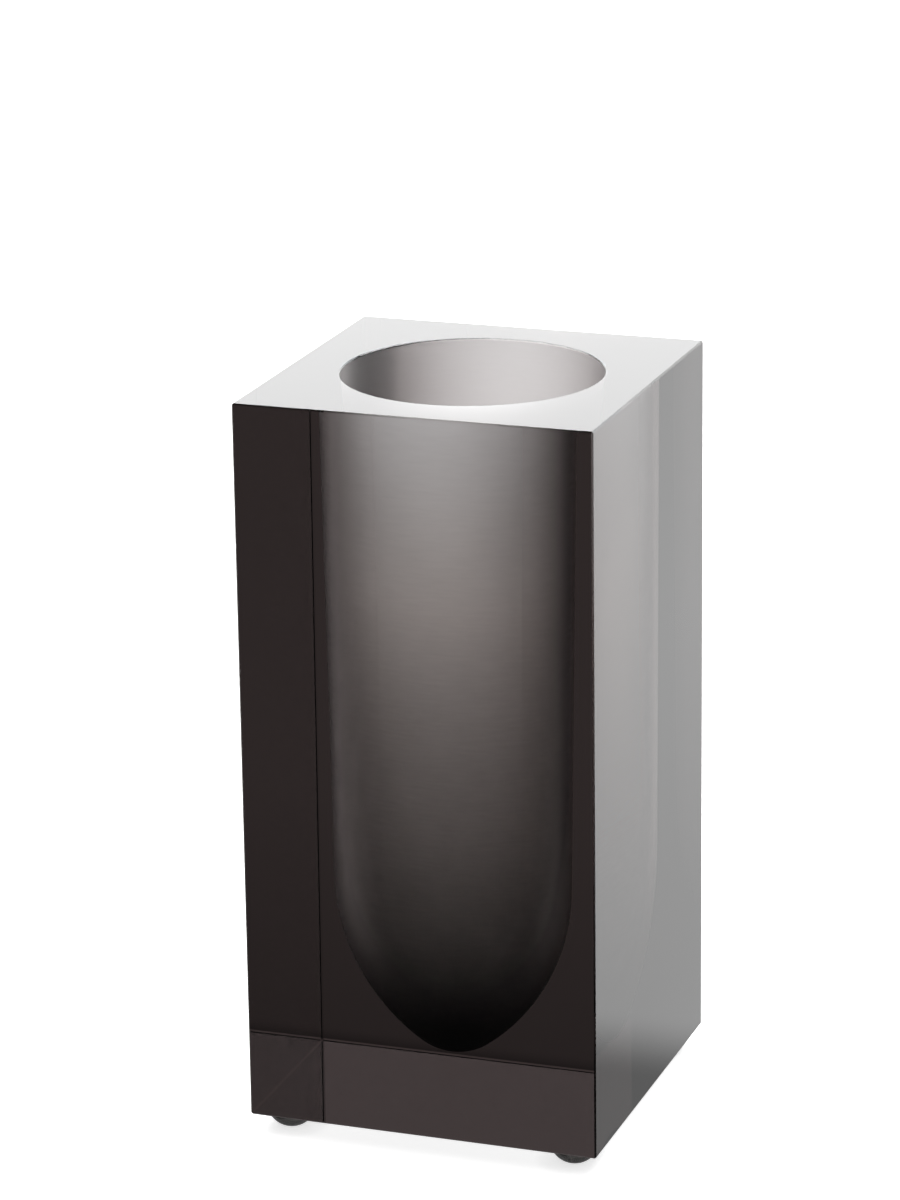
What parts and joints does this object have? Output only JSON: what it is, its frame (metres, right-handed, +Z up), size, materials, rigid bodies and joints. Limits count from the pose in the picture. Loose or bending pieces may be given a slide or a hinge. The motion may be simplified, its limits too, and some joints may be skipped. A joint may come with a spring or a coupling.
{
  "type": "toothbrush holder",
  "caption": "Square upright block of polished smoke-tinted acrylic with a round bullet-nosed pocket that holds toothbrushes upright, standing on clear domed bumper feet.",
  "frame": {"origin": "on the surface that the feet stand on, under the middle of the block and its pocket", "axes": "+Z up along the pocket's axis, out of its mouth; +X to the right and +Y to the back, square to the block's sides"},
  "size_m": [0.069, 0.069, 0.1434],
  "materials": {
    "smoke_acrylic": "transparent smoke grey cast acrylic, outer faces and edges polished, pocket wall satin",
    "clear_bumper": "clear soft polyurethane, glossy",
    "clear_adhesive": "clear pressure-sensitive adhesive"
  },
  "bodies": {
    "root": {"acrylic_block": "smoke_acrylic", "front_left_foot": "clear_bumper", "front_right_foot": "clear_bumper", "back_left_foot": "clear_bumper", "back_right_foot": "clear_bumper", "front_left_adhesive_disc": "clear_adhesive", "front_right_adhesive_disc": "clear_adhesive", "back_left_adhesive_disc": "clear_adhesive", "back_right_adhesive_disc": "clear_adhesive"}
  },
  "joints": []
}
